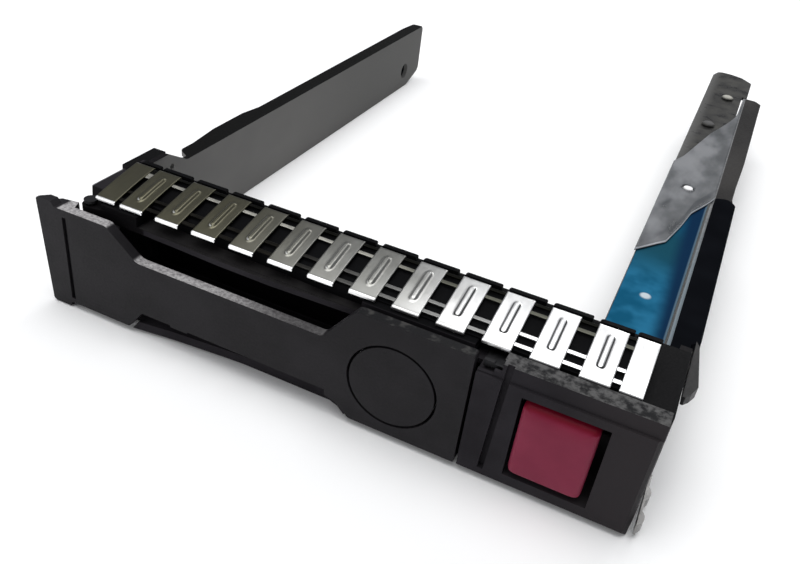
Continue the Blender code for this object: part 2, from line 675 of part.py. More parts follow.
def right_rail(mat):
    inner = WEB_RIGHT_INNER
    rail = plate("right_rail", "YZ", [web_outline(RAIL_LENGTH_RIGHT, 12.0 + 0.01)], inner, inner + WEB)
    far = RAIL_LENGTH_RIGHT - 0.2
    flange = fillet([(inner + 0.1, 16.3, 0), (76.1, 16.3, 0.3), (76.1, 19.4, 0), (FLANGE_RIGHT, 20.4, 0.4),
                     (FLANGE_RIGHT, 60.5, 2.0), (FLANGE_RIGHT - 0.65, 64.0, 2.0),
                     (FLANGE_RIGHT - 0.6, 69.0, 2.0), (FLANGE_RIGHT - 0.25, 80.0, 2.0),
                     (FLANGE_RIGHT, far - 1.5, 1.0), (FLANGE_RIGHT - 1.2, far, 0.8), (inner + 0.1, far, 0)])
    join(rail, plate("right_flange", "XY", [flange], RAIL_TOP - WEB, RAIL_TOP - 0.02, CUTTERS))
    cut(rail, *screw_holes("right", 73, 76))
    for name, z in rivet_places():
        cut(rail, round_block("right_web_rivet_" + name, (11.0, z), 0.95, 73, 75, "X", 16))
    return finish(rail, mat)


def rail_runner(mat):
    """Plastic runner on the right rail's flange, from the bezel back to a rounded end."""
    outline = fillet([(74.0, 16.3, 0), (76.1, 16.3, 0.3), (76.1, 19.4, 0), (FLANGE_RIGHT - 0.1, 20.4, 0.4),
                      (FLANGE_RIGHT - 0.1, 59.8, 1.6), (75.9, 61.3, 0.9), (74.0, 60.6, 0.8)])
    return finish(plate("rail_runner", "XY", [outline], RAIL_TOP + GAP, RAIL_TOP + 1.1), mat)


def circuit_shelf(mat):
    """Flat shelf along the top of the right rail that the flexible circuit lies on."""
    wide = SHELF_RIGHT + 1.0
    behind_rail = RAIL_LENGTH_RIGHT + 0.5
    outline = fillet([(SHELF_LEFT, 16.0, 0.4), (SHELF_RIGHT, 16.0, 0.4), (SHELF_RIGHT, behind_rail, 0),
                      (wide, behind_rail + 0.3, 0.2), (wide, BACK_MOST - 3.4, 1.2),
                      (72.0, BACK_MOST - 0.8, 1.2), (69.6, BACK_MOST, 1.5), (67.0, BACK_MOST, 1.4),
                      (SHELF_LEFT, BACK_MOST - 3.2, 1.6)], 6)
    shelf = plate("circuit_shelf", "XY", [outline], *SHELF_Z)
    cut(shelf, round_block("locating_hole", (69.67, 63.6), 0.95, 10, 13, "Z", 20))
    cut(shelf, round_block("front_eyelet", (69.45, 27.9), 1.25, 10, 13, "Z", 20))
    return finish(shelf, mat)


def contact_dimples(shelf_top):
    return [("contact_dimple_rear", 70.6, 113.0, shelf_top), ("contact_dimple_front", 68.95, 94.8, shelf_top)]


def contact_dimple(mat, name, x, y, shelf_top):
    """Low domed contact on the shelf's bare end."""
    profile = [(1.25, 0.0), (1.1, 0.18), (0.75, 0.38), (0.35, 0.5)]
    bm = bmesh.new()
    for (wide, low), (narrow, high) in zip(profile, profile[1:]):
        place = Matrix.Translation((x, y, shelf_top + GAP + (low + high) / 2))
        last = (wide, low) == profile[0] or (narrow, high) == profile[-1]
        bmesh.ops.create_cone(bm, cap_ends=last, segments=20, radius1=wide, radius2=narrow, depth=high - low,
                              matrix=place)
    bmesh.ops.remove_doubles(bm, verts=bm.verts, dist=0.001)
    heights = [face.calc_center_median().z for face in bm.faces]
    ends = (min(heights), max(heights))
    inside = [face for face in bm.faces
              if len(face.verts) > 4 and face.calc_center_median().z not in ends]
    bmesh.ops.delete(bm, geom=inside, context="FACES_ONLY")
    return finish(keep(name, bm), mat)


def flex_circuit(mat):
    """Blue flexible circuit; its visible end is cut on a slant."""
    end = [(73.0, 62.0), (71.0, 56.0), (70.2, 50.0), (69.0, 44.5), (66.35, 40.0)]
    outline = [(66.35, 16.5), (73.0, 16.5)] + end
    film = plate("flex_circuit", "XY", [outline], SHELF_Z[1] + GAP, SHELF_Z[1] + GAP + 0.15)
    cut(film, round_block("film_eyelet", (69.45, 27.9), 1.25, 10, 14, "Z", 20))
    return finish(film, mat)


def protective_film(mat):
    """Clear film over the middle of the shelf, lapping onto the circuit's end."""
    front = [(66.2, 38.3), (69.4, 43.1), (70.6, 49.0), (71.3, 54.1), (73.1, 59.0)]
    rear = [(73.1, 103.5), (72.5, 99.3), (69.9, 90.1), (67.1, 76.3), (66.2, 72.5)]
    outline = front + rear
    low = SHELF_Z[1] + GAP + 0.15 + GAP
    film = plate("protective_film", "XY", [outline], low, low + 0.15)
    cut(film, round_block("film_hole", (69.67, 63.6), 0.95, 10, 14, "Z", 20))
    return finish(film, mat)


def rail_rivet(mat, side, name, height):
    if side == "left":
        shank, head = (1.0, 3.0 - 0.05), (0.62, 1.0 + 0.05)
    else:
        shank, head = (73.0, 76.1), (72.75, 73.25)
    rivet = rod(f"rail_rivet_{side}_{name}", (11.0, height), 0.65, *shank, "X", sides=16)
    join(rivet, round_block(f"rivet_head_{side}_{name}", (11.0, height), 1.3, *head, "X", 20))
    return finish(rivet, mat)


# ---- assembly ----
def build():
    charcoal = material("charcoal_plastic", CHARCOAL, 0.6)
    lever_grey = material("lever_plastic", CHARCOAL, 0.55)
    black = material("black_plastic", BLACK, 0.45)
    spring_steel = material("spring_steel", (0.62, 0.61, 0.57), 0.28, 1.0)
    pin_steel = material("pin_steel", (0.55, 0.55, 0.55), 0.35, 1.0)
    rail_grey = material("rail_grey", (0.05, 0.05, 0.05), 0.5)
    shelf_dark = material("shelf_dark", (0.03, 0.03, 0.028), 0.35)
    burgundy = material("burgundy_plastic", (0.19, 0.012, 0.045), 0.4)
    blue = material("blue_circuit", (0.03, 0.15, 0.28), 0.3)
    clear = material("clear_film", (0.6, 0.62, 0.66), 0.2, alpha=0.5)
    board_green = material("board_green", (0.02, 0.12, 0.05), 0.5)
    lens = material("clear_lens", (0.75, 0.77, 0.78), 0.15, alpha=0.6)

    bezel_frame(charcoal)
    lever(lever_grey)
    status_disc(lever_grey)
    status_light_ring(lens)
    status_cover(black)
    lever_pin(pin_steel)
    lever_spring(spring_steel)
    release_button(burgundy)
    button_spring(spring_steel)
    release_catch(pin_steel)
    status_board(board_green)
    status_led(lens)
    light_guide(lens)
    ground_spring_strip(spring_steel)
    side_ground_spring(spring_steel)
    cage_clip(black)
    left_rail(rail_grey)
    right_rail(rail_grey)
    rail_runner(black)
    circuit_shelf(shelf_dark)
    for place in contact_dimples(SHELF_Z[1]):
        contact_dimple(shelf_dark, *place)
    flex_circuit(blue)
    protective_film(clear)
    for side in ("left", "right"):
        for name, height in rivet_places():
            rail_rivet(pin_steel, side, name, height)


build()
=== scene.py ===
"""Looks of the empty 2.5-inch drive carrier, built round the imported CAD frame."""

import math

import bmesh
import bpy
from mathutils import Euler, Matrix, Vector, noise


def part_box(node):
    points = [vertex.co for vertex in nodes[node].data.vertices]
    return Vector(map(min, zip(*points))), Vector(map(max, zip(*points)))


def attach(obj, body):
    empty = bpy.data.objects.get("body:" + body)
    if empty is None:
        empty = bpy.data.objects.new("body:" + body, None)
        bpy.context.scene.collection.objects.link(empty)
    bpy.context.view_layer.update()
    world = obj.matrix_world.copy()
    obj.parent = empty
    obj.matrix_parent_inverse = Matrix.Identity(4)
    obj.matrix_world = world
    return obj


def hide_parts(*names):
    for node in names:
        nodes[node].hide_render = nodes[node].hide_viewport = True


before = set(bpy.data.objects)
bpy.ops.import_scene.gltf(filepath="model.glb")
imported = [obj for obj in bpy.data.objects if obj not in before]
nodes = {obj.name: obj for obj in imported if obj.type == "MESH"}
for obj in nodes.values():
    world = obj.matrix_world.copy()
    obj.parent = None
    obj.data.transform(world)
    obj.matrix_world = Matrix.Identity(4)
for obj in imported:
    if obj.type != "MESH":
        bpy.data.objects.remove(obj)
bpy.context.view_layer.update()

MM = 0.001

# Bench coordinates, in millimetres: x to the right, y from the bezel's front face towards the back,
# z up from the surface.  The lever's left end stands out by its overhang to the left of x = 0.
LEVER_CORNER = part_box("lever")[0]
LEVER_OVERHANG = 1.1
START = Vector((LEVER_CORNER.x + LEVER_OVERHANG * MM, LEVER_CORNER.y, 0.0))

FINGER_PITCH = 5.18
FINGER_WIDTH = 3.23
FINGER_FIRST = 9.35
FINGER_COUNT = 12
FINGER_FRONT = 2.75
FINGER_BACK = 10.6
FINGER_LOW = 16.2  # top of a finger at its front lip
FINGER_RISE = 0.207  # height gained per millimetre towards the back
FINGER_SLOPE_START = 3.0
RIB_FRONT = 4.8
RIB_BACK = 8.8

SHELF_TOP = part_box("circuit_shelf")[1].z / MM
FILM_HOLE = (69.67, 63.6)
FILM_HOLE_R = 0.95
EYELET = (69.45, 27.9)

SCREW_HOLES_Y = (25.4, 102.0)
SCREW_HOLES_Z = 3.7


def bench(x, y, z):
    return START + Vector((x, y, z)) * MM


# ---- materials ----
class Paint:
    """A Principled material with small helpers for its node tree; textures are in millimetres."""

    def __init__(self, name, colour, roughness, metallic=0.0, specular=0.5):
        self.mat = bpy.data.materials.new(name)
        self.mat.use_nodes = True
        self.tree = self.mat.node_tree
        self.shader = self.tree.nodes["Principled BSDF"]
        self.set("Base Color", (*colour, 1.0))
        self.set("Roughness", roughness)
        self.set("Metallic", metallic)
        self.set("Specular IOR Level", specular)
        where = self.tree.nodes.new("ShaderNodeTexCoord")
        scale = self.tree.nodes.new("ShaderNodeVectorMath")
        scale.operation = "SCALE"
        scale.inputs["Scale"].default_value = 1 / MM
        self.link(where.outputs["Object"], scale.inputs[0])
        self.place = scale.outputs[0]
        self.axes = None

    def link(self, output, socket):
        self.tree.links.new(output, socket)

    def feed(self, socket, value):
        """Sets a socket to a number or colour, or links a node's output to it."""
        if isinstance(value, bpy.types.NodeSocket):
            self.link(value, socket)
        else:
            socket.default_value = value

    def set(self, name, value):
        self.feed(self.shader.inputs[name], value)

    def noise(self, scale, detail=3.0, rough=0.55, stretch=(1, 1, 1)):
        stretched = self.tree.nodes.new("ShaderNodeVectorMath")
        stretched.operation = "MULTIPLY"
        stretched.inputs[1].default_value = stretch
        self.link(self.place, stretched.inputs[0])
        node = self.tree.nodes.new("ShaderNodeTexNoise")
        node.inputs["Scale"].default_value = scale
        node.inputs["Detail"].default_value = detail
        node.inputs["Roughness"].default_value = rough
        self.link(stretched.outputs[0], node.inputs["Vector"])
        return node.outputs["Fac"]

    def ramp(self, value, low, high, start=0.0, end=1.0):
        """Maps value from low..high to start..end, smoothly and clamped."""
        node = self.tree.nodes.new("ShaderNodeMapRange")
        node.interpolation_type = "SMOOTHSTEP"
        self.feed(node.inputs["Value"], value)
        for name, number in (("From Min", low), ("From Max", high), ("To Min", start), ("To Max", end)):
            node.inputs[name].default_value = number
        return node.outputs["Result"]

    def math(self, operation, a, b=0.0):
        node = self.tree.nodes.new("ShaderNodeMath")
        node.operation = operation
        self.feed(node.inputs[0], a)
        self.feed(node.inputs[1], b)
        return node.outputs[0]

    def times(self, *values):
        result = values[0]
        for value in values[1:]:
            result = self.math("MULTIPLY", result, value)
        return result

    def mix(self, amount, a, b):
        node = self.tree.nodes.new("ShaderNodeMix")
        node.data_type = "RGBA"
        self.feed(node.inputs["Factor"], amount)
        self.feed(node.inputs["A"], (*a, 1.0) if isinstance(a, tuple) else a)
        self.feed(node.inputs["B"], (*b, 1.0) if isinstance(b, tuple) else b)
        return node.outputs["Result"]

    def position(self):
        """x, y and z in millimetres from the bench's start."""
        if self.axes is None:
            split = self.tree.nodes.new("ShaderNodeSeparateXYZ")
            self.link(self.place, split.inputs[0])
            self.axes = [self.math("SUBTRACT", split.outputs[i], START[i] / MM) for i in range(3)]
        return self.axes

    def normal(self):
        where = self.tree.nodes.new("ShaderNodeTexCoord")
        split = self.tree.nodes.new("ShaderNodeSeparateXYZ")
        self.link(where.outputs["Normal"], split.inputs[0])
        return split.outputs

    def facing_up(self, low=0.55, high=0.9):
        return self.ramp(self.normal()[2], low, high)

    def between(self, value, low, high, soft=0.2):
        """1 where value lies between low and high, 0 outside."""
        rise = self.ramp(value, low - soft, low + soft)
        fall = self.ramp(value, high - soft, high + soft, 1.0, 0.0)
        return self.times(rise, fall)

    def patch(self, across, height):
        """1 on the stretch of the object between two places in x and two heights."""
        x, _, z = self.position()
        return self.times(self.between(x, *across), self.between(z, *height, 0.1))

    def around(self, centre, near, far):
        """1 within near millimetres of a point of the plan, 0 beyond far."""
        x, y, _ = self.position()
        away = self.length(self.math("SUBTRACT", x, centre[0]), self.math("SUBTRACT", y, centre[1]))
        return self.ramp(away, near, far, 1.0, 0.0)

    def length(self, a, b):
        return self.math("SQRT", self.math("ADD", self.times(a, a), self.times(b, b)))

    def bump(self, height, distance, strength=1.0):
        node = self.tree.nodes.new("ShaderNodeBump")
        node.inputs["Strength"].default_value = strength
        node.inputs["Distance"].default_value = distance * MM
        self.link(height, node.inputs["Height"])
        self.set("Normal", node.outputs["Normal"])


CHARCOAL = (0.0150, 0.0138, 0.0158)


def shade(colour, factor):
    return tuple(part * factor for part in colour)


def tone_of(paint, colour):
    """The colour, a little darker and lighter in broad clouds."""
    broad = paint.noise(0.16, 2.0)
    return paint.mix(paint.ramp(broad, 0.3, 0.7), shade(colour, 0.85), shade(colour, 1.17))


def moulded(name, colour, roughness=0.5, grain=0.016, specular=0.25):
    """Fine spark-eroded moulding texture with a little tone variation."""
    paint = Paint(name, colour, roughness, specular=specular)
    fine = paint.noise(3.2, 4.0, 0.6)
    paint.set("Base Color", tone_of(paint, colour))
    paint.set("Roughness", paint.ramp(fine, 0.2, 0.8, roughness - 0.08, roughness + 0.1))
    paint.bump(fine, grain)
    return paint


def lever_material():
    """Dark plastic with painted highlights on its top faces: pale by the pivot and along the bar, dim and
    mottled on the raised end.
    """
    tone = shade(CHARCOAL, 0.85)
    paint = moulded("lever_plastic", tone, specular=0.12)
    x = paint.position()[0]
    speck = paint.noise(2.6, 3.0, 0.7)
    coarse = paint.noise(0.9, 2.0)
    up = paint.facing_up()
    by_pivot = paint.patch((2.2, 9.6), (14.2, 14.9))
    along_bar = paint.times(paint.patch((13.4, 39.1), (10.4, 11.4)), paint.ramp(x, 22.0, 36.0, 1.0, 0.22))
    raised = paint.patch((42.6, 56.3), (15.3, 16.4))
    # painted highlight: mottled pale grey on the lever's up-facing top faces, by the pivot and along the
    # bar
    pale = paint.mix(paint.ramp(speck, 0.35, 0.7), (0.22, 0.21, 0.215), (0.46, 0.45, 0.45))
    # painted sheen: mottled darker and lighter colour on the up-facing top of the raised end
    raised_top_sheen = paint.mix(paint.ramp(coarse, 0.48, 0.70), (0.005, 0.005, 0.006), (0.036, 0.035, 0.034))
    top_highlight = paint.times(paint.math("ADD", by_pivot, along_bar), up, paint.ramp(speck, 0.25, 0.42, 0.55, 1.0))
    colour = paint.mix(paint.times(raised, up), tone_of(paint, tone), raised_top_sheen)
    paint.set("Base Color", paint.mix(top_highlight, colour, pale))
    return paint.mat


def bezel_material():
    """Dark plastic: painted mottled highlight on the housing's top edge, painted deep black shade inside
    the hollows and under the spring fingers.
    """
    tone = shade(CHARCOAL, 1.45)
    paint = moulded("bezel_plastic", tone, specular=0.02)
    x, y, z = paint.position()
    coarse = paint.noise(1.1, 4.0, 0.65)
    up = paint.facing_up()
    # painted shade: deep black inside the recess behind the lever
    recess_shade = paint.times(paint.patch((6.0, 56.0), (1.8, 13.4)), paint.ramp(y, 3.0, 5.0))
    lugs = paint.times(paint.ramp(z, 13.2, 13.4), paint.ramp(x, 13.4, 13.0), paint.ramp(y, 6.4, 6.0))
    # painted shadow: the bezel's top darkened under the spring fingers and their lips
    shadow_under_fingers = paint.times(paint.ramp(y, 2.2, 2.5), paint.ramp(y, 12.6, 12.0),
                                paint.ramp(z, 14.1, 14.4), paint.ramp(x, 6.0, 6.4))
    behind = paint.math("MAXIMUM", paint.ramp(y, 11.9, 12.1), paint.ramp(x, 72.7, 73.0))
    deck = paint.times(up, behind, paint.ramp(z, 14.8, 14.95))
    ledge = paint.times(up, paint.patch((12.5, 42.0), (14.1, 14.5)), paint.ramp(y, 4.9, 4.6))
    grey = paint.mix(coarse, (0.008, 0.0075, 0.008), (0.022, 0.021, 0.021))
    # painted highlight: mottled grey on the housing's up-facing top edge
    crown = paint.times(up, paint.ramp(z, 15.8, 15.95), paint.ramp(x, 58.9, 59.3), paint.ramp(y, 3.0, 2.6))
    mottled_highlight = paint.mix(paint.ramp(coarse, 0.36, 0.66), (0.016, 0.016, 0.017), (0.095, 0.094, 0.094))
    layers = [
        (paint.ramp(x, 62.0, 74.0), (0.030, 0.0268, 0.0288)),
        (recess_shade, (0.0035, 0.0028, 0.0035)),
        (lugs, (0.006, 0.0055, 0.006)),
        (shadow_under_fingers, (0.004, 0.004, 0.0045)),
        (deck, (0.006, 0.006, 0.0065)),
        (ledge, grey),
        (crown, mottled_highlight),
    ]
    colour = tone_of(paint, tone)
    for mask, layer in layers:
        colour = paint.mix(mask, colour, layer)
    paint.set("Base Color", colour)
    return paint.mat


def rib_outline(paint):
    """The foot of each finger's rib, and which side of the rib is the left."""
    x, y, _ = paint.position()
    start = FINGER_FIRST + FINGER_WIDTH / 2 - FINGER_PITCH / 2
    turn = paint.math("MODULO", paint.math("SUBTRACT", x, start), FINGER_PITCH)
    across = paint.math("SUBTRACT", turn, FINGER_PITCH / 2)
    on_rib = paint.math("MINIMUM", paint.math("MAXIMUM", y, RIB_FRONT), RIB_BACK)
    away = paint.length(across, paint.math("SUBTRACT", y, on_rib))
    full_fingers = paint.times(paint.ramp(x, 9.0, 9.2), paint.ramp(x, 70.0, 69.8))
    return paint.times(paint.between(away, 0.30, 0.42, 0.05), full_fingers), paint.ramp(across, 0.1, -0.1)


def spring_material():
    """Plated spring sheet, olive at the left; painted reflection whitens it at the right, and painted
    highlights line the left lips.
    """
    paint = Paint("spring_fingers", (0.6, 0.6, 0.58), 0.3, 1.0)
    x, y, _ = paint.position()
    lines = paint.noise(1.2, 3.0, 0.6, (6.0, 0.5, 1.0))
    cloud = paint.noise(0.25, 3.0)
    # painted reflection: the metal's colour brightens from olive at the left to white at the right
    plating_and_reflection = paint.mix(paint.ramp(x, 20.0, 42.0), (0.105, 0.100, 0.070), (0.30, 0.30, 0.285))
    plating_and_reflection = paint.mix(paint.ramp(x, 42.0, 60.0), plating_and_reflection, (0.98, 0.98, 0.98))
    colour = paint.mix(paint.ramp(cloud, 0.35, 0.7, 0.0, 0.25), plating_and_reflection, (0.085, 0.082, 0.065))
    outline, left_side = rib_outline(paint)
    # painted shade on the rib edges of the right fingers, painted highlight on the left side of the ribs of
    # the left fingers
    shaded_outline = paint.times(outline, paint.ramp(x, 44.0, 54.0))
    lit_outline = paint.times(outline, left_side, paint.ramp(x, 52.0, 40.0))
    colour = paint.mix(shaded_outline, colour, (0.01, 0.01, 0.01))
    colour = paint.mix(lit_outline, colour, (0.95, 0.95, 0.90))
    # painted highlight: white along the fingers' front lips, strongest at the left
    front_lip = paint.ramp(y, FINGER_FRONT + 0.31, FINGER_FRONT + 0.21)
    lip = paint.times(front_lip, paint.ramp(x, 52.0, 36.0, 0.35, 1.0))
    paint.set("Base Color", paint.mix(lip, colour, (1.0, 1.0, 1.0)))
    paint.set("Roughness", paint.ramp(lines, 0.25, 0.75, 0.28, 0.36))
    paint.bump(lines, 0.0015)
    return paint.mat


def bar_material():
    """Cross bars of the spring sheet, with painted reflection: the front pair dark at the left and bright
    at the right.
    """
    paint = Paint("spring_bars", (0.6, 0.6, 0.58), 0.32, 1.0)
    x, y, _ = paint.position()
    # painted reflection: the bars' colour changes along x, the front pair from dark to bright, the third
    # bar the other way
    front = paint.mix(paint.ramp(x, 30.0, 56.0), (0.014, 0.013, 0.011), (0.22, 0.22, 0.215))
    front = paint.mix(paint.ramp(x, 55.0, 63.0), front, (0.98, 0.98, 0.98))
    third = paint.mix(paint.ramp(x, 34.0, 50.0), (0.42, 0.41, 0.37), (0.085, 0.085, 0.07))
    rear = paint.mix(paint.ramp(y, 9.2, 9.4), third, (0.006, 0.006, 0.005))
    paint.set("Base Color", paint.mix(paint.ramp(y, 6.5, 7.0), front, rear))
    paint.set("Roughness", paint.ramp(paint.noise(0.8), 0.3, 0.7, 0.28, 0.4))
    return paint.mat


def steel_material(name, colour, roughness):
    """Steel with fine drawn lines."""
    paint = Paint(name, colour, roughness, 1.0)
    lines = paint.noise(2.0, 3.0, 0.6, (1.0, 1.0, 5.0))
    paint.set("Roughness", paint.ramp(lines, 0.2, 0.8, roughness - 0.08, roughness + 0.12))
    paint.set("Base Color", paint.mix(paint.noise(0.8), shade(colour, 0.7), colour))
    paint.bump(lines, 0.004)
    return paint.mat


def rail_material():
    """Painted sheet: grey inner faces, black flange on top, paler along the web's bend and bluish there
    towards the front.
    """
    paint = moulded("rail_paint", (0.085, 0.083, 0.080), 0.42, 0.006, 0.02)
    x, y, z = paint.position()
    cloud = paint.noise(0.07, 3.0, 0.5, (1.0, 0.6, 1.0))
    speck = paint.noise(1.6, 3.0)
    grey = paint.mix(paint.ramp(cloud, 0.3, 0.7), (0.152, 0.150, 0.146), (0.190, 0.186, 0.180))
    grey = paint.mix(paint.ramp(y, 15.0, 90.0), grey, (0.112, 0.111, 0.108))
    flange = paint.mix(paint.ramp(cloud, 0.35, 0.65), (0.013, 0.012, 0.012), (0.030, 0.028, 0.027))
    tops = paint.mix(paint.ramp(x, 60.0, 62.0), (0.006, 0.006, 0.006), flange)
    top = paint.times(paint.ramp(z, 11.7, 11.9), paint.facing_up())
    colour = paint.mix(top, grey, tops)
    # paler on the up-facing top along the bend, bluish towards the front
    bend = paint.times(top, paint.between(x, 73.55, 74.05, 0.08), paint.ramp(y, 16.0, 18.0))
    pale_bend = paint.mix(paint.ramp(speck, 0.3, 0.7), (0.15, 0.155, 0.16), (0.26, 0.265, 0.27))
    pale_bend = paint.mix(paint.ramp(y, 30.0, 60.0), (0.20, 0.24, 0.27), pale_bend)
    paint.set("Base Color", paint.mix(bend, colour, pale_bend))
    return paint.mat


def shelf_material():
    """Blackish laminate with a worn left margin, and the contacts that are domed on it."""
    paint = Paint("shelf_laminate", (0.022, 0.022, 0.019), 0.4, specular=0.02)
    cloud = paint.noise(0.35, 4.0, 0.6)
    x, y, z = paint.position()
    bare = paint.mix(paint.ramp(cloud, 0.35, 0.7), (0.017, 0.017, 0.017), (0.055, 0.054, 0.050))
    bare = paint.mix(paint.ramp(x, 68.2, 66.2), bare, (0.085, 0.084, 0.082))
    contact = paint.mix(paint.ramp(y, 103.0, 105.0), (0.10, 0.10, 0.10), (0.40, 0.39, 0.35))
    paint.set("Base Color", paint.mix(paint.ramp(z, 12.25, 12.6), bare, contact))
    paint.set("Roughness", paint.ramp(cloud, 0.3, 0.7, 0.25, 0.45))
    paint.bump(paint.noise(0.3, 2.0), 0.02)
    return paint.mat


def blue_material():
    """Blue circuit, darker at its rear end and right side, with a pale line and a pale eyelet mark."""
    paint = Paint("blue_circuit", (0.022, 0.135, 0.26), 0.32, specular=0.0)
    x, y, _ = paint.position()
    cloud = paint.noise(0.16, 3.0)
    teal = paint.mix(paint.ramp(cloud, 0.38, 0.62), (0.007, 0.078, 0.150), (0.020, 0.140, 0.255))
    rear_end = paint.times(paint.ramp(y, 30.0, 41.0), paint.ramp(y, 52.0, 44.0))
    right_side = paint.ramp(paint.math("ADD", x, paint.math("MULTIPLY", y, 0.03)), 71.4, 73.6)
    colour = paint.mix(rear_end, teal, (0.010, 0.060, 0.092))
    colour = paint.mix(right_side, colour, (0.006, 0.024, 0.060))
    colour = paint.mix(paint.ramp(x, 72.95, 73.2), colour, (0.10, 0.16, 0.21))
    paint.set("Base Color", paint.mix(paint.around(EYELET, 0.45, 0.85), colour, (0.50, 0.56, 0.60)))
    paint.bump(paint.noise(0.4, 2.0), 0.04)
    return paint.mat


def clear_film_material(name, whiteness=0.0):
    """Clear film with milky patches; whiteness stands for an edge that scatters the light."""
    paint = Paint(name, (0.2, 0.21, 0.22), 0.28, specular=0.04)
    cloud = paint.noise(0.22, 3.0, 0.5, (1.0, 0.45, 1.0))
    low = 0.085 + whiteness * 0.3
    high = 0.19 + whiteness * 0.4
    dark = (low, low * 1.06, low * 1.14)
    light = (high, high * 1.03, high * 1.09)
    paint.set("Base Color", paint.mix(paint.ramp(cloud, 0.35, 0.65), dark, light))
    paint.set("Alpha", paint.ramp(cloud, 0.3, 0.7, 0.72 + whiteness * 0.2, 0.90 + whiteness * 0.1))
    return paint.mat


def button_material():
    """Burgundy plastic, with painted shade making it deeper and purer red towards its top and on its
    rounded top edge.
    """
    paint = Paint("burgundy_plastic", (0.19, 0.016, 0.045), 0.45, specular=0.12)
    z = paint.position()[2]
    face = paint.mix(paint.ramp(paint.noise(0.2), 0.3, 0.7), (0.172, 0.019, 0.044), (0.205, 0.025, 0.054))
    # painted shade: darker, purer red towards the top
    face = paint.mix(paint.ramp(z, 9.6, 13.2, 0.0, 0.7), face, (0.150, 0.003, 0.022))
    # painted shade on the up-facing rounded top edge
    top_edge_shade = paint.ramp(paint.normal()[2], 0.25, 0.75)
    paint.set("Base Color", paint.mix(top_edge_shade, face, (0.125, 0.0006, 0.010)))
    paint.set("Subsurface Weight", 0.05)
    paint.set("Subsurface Scale", 0.001)
    paint.bump(paint.noise(3.0, 3.0), 0.006)
    return paint.mat


def plain_plastic(name, colour, roughness, specular=0.25):
    return moulded(name, colour, roughness, 0.01, specular).mat


def lens_material():
    """Clear plastic of the lamp's parts."""
    paint = Paint("clear_lens", (0.8, 0.82, 0.83), 0.12)
    paint.set("Transmission Weight", 0.7)
    paint.set("Roughness", paint.ramp(paint.noise(1.0), 0.3, 0.7, 0.08, 0.2))
    return paint.mat


def board_material():
    """Green board with paler tracks."""
    paint = Paint("board", (0.015, 0.09, 0.04), 0.4)
    tracks = paint.ramp(paint.noise(1.2, 1.0, 0.4, (1.0, 1.0, 4.0)), 0.5, 0.54)
    paint.set("Base Color", paint.mix(tracks, (0.012, 0.085, 0.035), (0.03, 0.16, 0.07)))
    return paint.mat


LEVER = lever_material()
BEZEL = bezel_material()
SPRING = spring_material()
SPRING_BARS = bar_material()
PIN = steel_material("pin_steel", (0.5, 0.5, 0.5), 0.3)
DARK_STEEL = steel_material("blackened_steel", (0.035, 0.035, 0.037), 0.45)
CHROME = steel_material("bright_steel", (0.30, 0.295, 0.29), 0.35)
RAIL = rail_material()
SHELF = shelf_material()
BLUE = blue_material()
FILM = clear_film_material("clear_film")
FILM_EDGE = clear_film_material("clear_film_edge", 0.6)
BUTTON = button_material()
BLACK = plain_plastic("black_plastic", (0.010, 0.0095, 0.010), 0.4, 0.1)
RUNNER = plain_plastic("runner_plastic", (0.0045, 0.005, 0.0065), 0.35, 0.0)
# pale disc put under the clear film's hole so that the hole looks bright
PALE = plain_plastic("pale_hole_disc", (0.85, 0.85, 0.85), 0.4)
LENS = lens_material()
BOARD = board_material()


# ---- mesh helpers, in bench millimetres ----
def piece(name, bm, mat, body, stands_for=(), smooth=True):
    """Turns a mesh in bench millimetres into a piece that rides on a body and may stand for CAD nodes."""
    for vert in bm.verts:
        vert.co = bench(*vert.co)
    bmesh.ops.recalc_face_normals(bm, faces=bm.faces)
    mesh = bpy.data.meshes.new(name)
    bm.to_mesh(mesh)
    bm.free()
    mesh.materials.append(mat)
    if smooth:
        mesh.shade_smooth()
    thing = bpy.data.objects.new(name, mesh)
    bpy.context.scene.collection.objects.link(thing)
    if stands_for:
        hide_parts(*stands_for)
    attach(thing, body)
    return thing


def round_edges(thing, width):
    modifier = thing.modifiers.new("rounded_edges", "BEVEL")
    modifier.width = width * MM
    modifier.segments = 2
    return modifier


def paint_node(name, mat, bevel=0.0):
    """A CAD piece as it is, with its material and lightly rounded edges."""
    thing = nodes[name]
    thing.data.materials.clear()
    thing.data.materials.append(mat)
    if bevel:
        modifier = round_edges(thing, bevel)
        modifier.limit_method = "ANGLE"
        modifier.angle_limit = math.radians(35)
        modifier.use_clamp_overlap = True


def sheet_grid(us, vs, place):
    """A grid of quads; place(u, v) gives each point."""
    bm = bmesh.new()
    rows = [[bm.verts.new(place(u, v)) for u in us] for v in vs]
    for low, high in zip(rows, rows[1:]):
        for i in range(len(us) - 1):
            bm.faces.new((low[i], low[i + 1], high[i + 1], high[i]))
    return bm


def thicken(thing, thickness, offset=-1.0):
    modifier = thing.modifiers.new("thickness", "SOLIDIFY")
    modifier.thickness = thickness * MM
    modifier.offset = offset


def join_rings(bm, first, second):
    """Quads between two closed rings that have the same number of points."""
    count = len(first)
    for k in range(count):
        bm.faces.new((first[k], first[(k + 1) % count], second[(k + 1) % count], second[k]))


def steps(low, high, count):
    """count + 1 even steps from low to high."""
    return [low + (high - low) * k / count for k in range(count + 1)]


def smoothstep(low, high, value):
    t = min(1.0, max(0.0, (value - low) / (high - low)))
    return t * t * (3 - 2 * t)


# ---- grounding strip ----
LEFT_END_FINGER = (5.75, 2.8)
RIGHT_END_FINGER = (70.43, 2.4)
FINGER_LIFT = 0.03  # the fingers lie this much above the strip's own slope
FINGER_BOW = 0.1
RIB_HEIGHT = 0.26
STRIP_LEFT = 5.9
STRIP_RIGHT = 72.7
STRIP_BARS = [(3.55, 4.05), (5.15, 5.62), (8.45, 8.93), (9.78, 10.2)]


